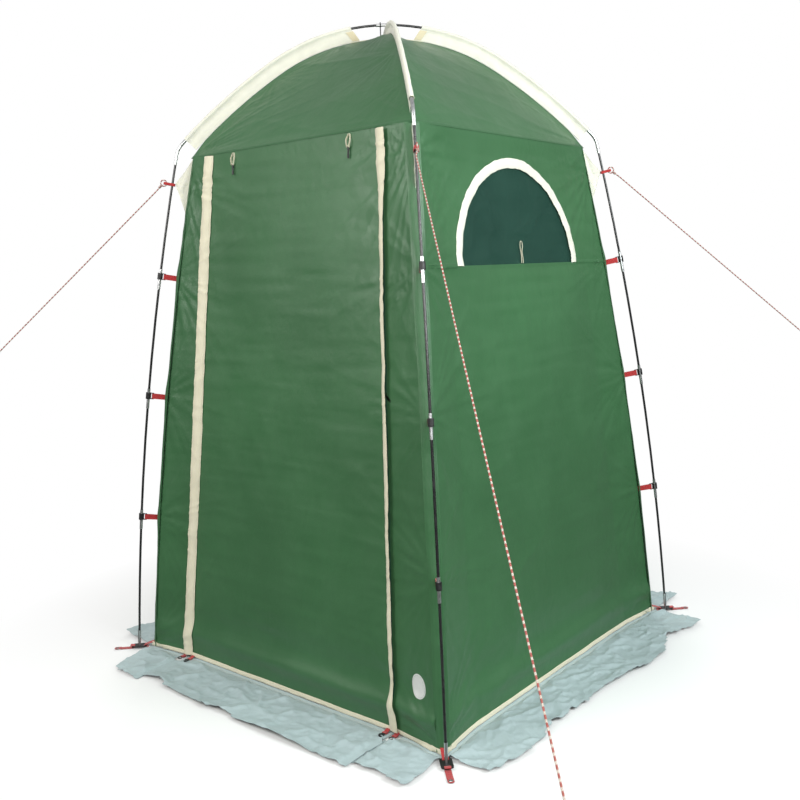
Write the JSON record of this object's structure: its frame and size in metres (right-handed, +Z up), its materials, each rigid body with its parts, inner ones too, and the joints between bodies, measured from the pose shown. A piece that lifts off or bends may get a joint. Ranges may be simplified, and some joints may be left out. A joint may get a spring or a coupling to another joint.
{
  "type": "privacy shower tent",
  "caption": "Square upright shelter with a zipped door, an arched mesh window, crossed shock-corded poles clipped outside, ground skirts, guylines and pegs.",
  "frame": {"origin": "on the ground, at the centre of the square footprint", "axes": "+Z up; the zipped door faces -Y; the arched window faces +X"},
  "size_m": [3.7516, 3.7058, 2.2335],
  "materials": {
    "fibreglass": "pultruded fibreglass rod, black, slightly glossy",
    "ferrule_metal": "bright drawn steel tube",
    "elastic": "braided elastic cord",
    "black_plastic": "moulded black plastic",
    "red_webbing": "red woven webbing",
    "green_cloth": "coated green polyester, plain weave",
    "cream_cloth": "cream polyester trim",
    "grey_cloth": "grey polyester mud flap",
    "mesh_cloth": "dark green insect mesh",
    "guy_cord": "braided guy cord with pale tracer",
    "zip_tape": "zip tape and coil, dark",
    "zip_metal": "black enamelled slider",
    "peg_steel": "galvanised steel wire",
    "eyelet_metal": "zinc-plated eyelet"
  },
  "bodies": {
    "tent": {"pole_rods": "fibreglass", "pole_ferrules": "ferrule_metal", "pole_elbows": "ferrule_metal", "pole_end_tips": "ferrule_metal", "shock_cords": "elastic", "pole_clips": "black_plastic", "clip_straps": "red_webbing", "foot_plates": "black_plastic", "foot_straps": "red_webbing", "peg_tabs": "red_webbing", "peg_eyelets": "eyelet_metal", "guy_gussets": "cream_cloth", "guy_loops": "red_webbing", "guylines": "guy_cord", "roof_panels": "green_cloth", "pole_sleeves": "cream_cloth", "peak_hook": "black_plastic", "hang_strap": "red_webbing", "shower_ring": "black_plastic", "wall_front_strips": "green_cloth", "wall_window_side": "green_cloth", "wall_back": "green_cloth", "wall_left": "green_cloth", "wall_zip_tapes": "zip_tape", "wall_ring_tabs": "red_webbing", "hem_tapes": "cream_cloth", "window_mesh": "mesh_cloth", "window_binding": "cream_cloth", "window_zip_tape": "zip_tape", "window_loop": "cream_cloth"},
    "door": {"door_panel": "green_cloth", "door_zip_tapes": "zip_tape", "door_flaps": "cream_cloth", "door_hem_tape": "cream_cloth", "door_hook_tabs": "red_webbing", "toggle_loops": "cream_cloth"},
    "door_skirt": {"skirt_door": "grey_cloth"},
    "zip_slider_right": {"zip_slider_right": "zip_metal"},
    "zip_slider_left": {"zip_slider_left": "zip_metal"},
    "door_toggle_right": {"door_toggle_right": "black_plastic"},
    "door_toggle_left": {"door_toggle_left": "black_plastic"},
    "door_hook_right": {"door_hook_right": "black_plastic"},
    "door_hook_left": {"door_hook_left": "black_plastic"},
    "wall_ring_right": {"wall_ring_right": "black_plastic"},
    "wall_ring_left": {"wall_ring_left": "black_plastic"},
    "window_flap": {"window_flap": "green_cloth"},
    "window_zip_slider": {"window_zip_slider": "zip_metal"},
    "skirt_window_side": {"skirt_window_side": "grey_cloth"},
    "skirt_back": {"skirt_back": "grey_cloth"},
    "skirt_left": {"skirt_left": "grey_cloth"},
    "skirt_front_right": {"skirt_front_right": "grey_cloth"},
    "skirt_front_left": {"skirt_front_left": "grey_cloth"},
    "tensioner_front_right": {"tensioner_front_right": "black_plastic"},
    "peg_front_right": {"peg_front_right": "peg_steel"},
    "tensioner_back_right": {"tensioner_back_right": "black_plastic"},
    "peg_back_right": {"peg_back_right": "peg_steel"},
    "tensioner_back_left": {"tensioner_back_left": "black_plastic"},
    "peg_back_left": {"peg_back_left": "peg_steel"},
    "tensioner_front_left": {"tensioner_front_left": "black_plastic"},
    "peg_front_left": {"peg_front_left": "peg_steel"}
  },
  "joints": [
    {"name": "door_swing", "type": "hinge", "parent": "tent", "child": "door", "pos_m": [0, -0.478, 1.688], "axis": [-1, 0, 0], "range_deg": [0, 100]},
    {"name": "door_skirt_fold", "type": "hinge", "parent": "door", "child": "door_skirt", "pos_m": [0, -0.634, 0.0015], "axis": [-1, 0, 0], "range_deg": [-90, 0]},
    {"name": "zip_right_slide", "type": "slide", "parent": "door", "child": "zip_slider_right", "axis": [-0.0562, 0.0899, 0.9944], "range_m": [-0.91, 0.7]},
    {"name": "zip_left_slide", "type": "slide", "parent": "door", "child": "zip_slider_left", "axis": [0.0562, 0.0899, 0.9944], "range_m": [0, 1.595]},
    {"name": "toggle_right_lift", "type": "hinge", "parent": "door", "child": "door_toggle_right", "pos_m": [0.25, -0.48581, 1.65248], "axis": [-1, 0, 0], "range_deg": [0, 80]},
    {"name": "toggle_left_lift", "type": "hinge", "parent": "door", "child": "door_toggle_left", "pos_m": [-0.25, -0.48581, 1.65248], "axis": [-1, 0, 0], "range_deg": [0, 80]},
    {"name": "door_hook_right_lift", "type": "hinge", "parent": "door", "child": "door_hook_right", "pos_m": [0.44, -0.6518, 0.0055], "axis": [-1, 0, 0], "range_deg": [0, 80]},
    {"name": "wall_ring_right_lift", "type": "hinge", "parent": "tent", "child": "wall_ring_right", "pos_m": [0.476, -0.6518, 0.0055], "axis": [-1, 0, 0], "range_deg": [0, 80]},
    {"name": "door_hook_left_lift", "type": "hinge", "parent": "door", "child": "door_hook_left", "pos_m": [-0.44, -0.6518, 0.0055], "axis": [-1, 0, 0], "range_deg": [0, 80]},
    {"name": "wall_ring_left_lift", "type": "hinge", "parent": "tent", "child": "wall_ring_left", "pos_m": [-0.476, -0.6518, 0.0055], "axis": [-1, 0, 0], "range_deg": [0, 80]},
    {"name": "window_flap_drop", "type": "hinge", "parent": "tent", "child": "window_flap", "pos_m": [0.50608, 0, 1.29929], "axis": [0, -1, 0], "range_deg": [0, 170]},
    {"name": "window_zip_run", "type": "hinge", "parent": "tent", "child": "window_zip_slider", "pos_m": [0.50315, 0, 1.28397], "axis": [0.9959, 0, 0.09], "range_deg": [0, 150]},
    {"name": "skirt_window_side_fold", "type": "hinge", "parent": "tent", "child": "skirt_window_side", "pos_m": [0.657, 0, 0.0015], "axis": [0, -1, 0], "range_deg": [0, 75]},
    {"name": "skirt_back_fold", "type": "hinge", "parent": "tent", "child": "skirt_back", "pos_m": [0, 0.657, 0.0015], "axis": [1, 0, 0], "range_deg": [0, 75]},
    {"name": "skirt_left_fold", "type": "hinge", "parent": "tent", "child": "skirt_left", "pos_m": [-0.657, 0, 0.0015], "axis": [0, 1, 0], "range_deg": [0, 75]},
    {"name": "skirt_front_right_fold", "type": "hinge", "parent": "tent", "child": "skirt_front_right", "pos_m": [0.566, -0.657, 0.0015], "axis": [-1, 0, 0], "range_deg": [0, 75]},
    {"name": "skirt_front_left_fold", "type": "hinge", "parent": "tent", "child": "skirt_front_left", "pos_m": [-0.566, -0.657, 0.0015], "axis": [-1, 0, 0], "range_deg": [0, 75]},
    {"name": "tensioner_front_right_slide", "type": "slide", "parent": "tent", "child": "tensioner_front_right", "axis": [-0.5451, 0.4978, 0.6746], "range_m": [-0.25, 0.07]},
    {"name": "peg_front_right_pull", "type": "slide", "parent": "tent", "child": "peg_front_right", "axis": [0.4981, -0.4549, 0.7382], "range_m": [0, 0.15]},
    {"name": "tensioner_back_right_slide", "type": "slide", "parent": "tent", "child": "tensioner_back_right", "axis": [-0.541, -0.541, 0.6439], "range_m": [-0.25, 0.07]},
    {"name": "peg_back_right_pull", "type": "slide", "parent": "tent", "child": "peg_back_right", "axis": [0.4553, 0.4553, 0.7651], "range_m": [0, 0.15]},
    {"name": "tensioner_back_left_slide", "type": "slide", "parent": "tent", "child": "tensioner_back_left", "axis": [0.5286, -0.5286, 0.6642], "range_m": [-0.25, 0.07]},
    {"name": "peg_back_left_pull", "type": "slide", "parent": "tent", "child": "peg_back_left", "axis": [-0.4696, 0.4696, 0.7476], "range_m": [0, 0.15]},
    {"name": "tensioner_front_left_slide", "type": "slide", "parent": "tent", "child": "tensioner_front_left", "axis": [0.5199, 0.5199, 0.6777], "range_m": [-0.25, 0.07]},
    {"name": "peg_front_left_pull", "type": "slide", "parent": "tent", "child": "peg_front_left", "axis": [-0.4792, -0.4792, 0.7353], "range_m": [0, 0.15]}
  ],
  "couplings": [
    {"joint": "door_skirt_fold", "follows": "door_swing", "ratio": -0.9}
  ]
}
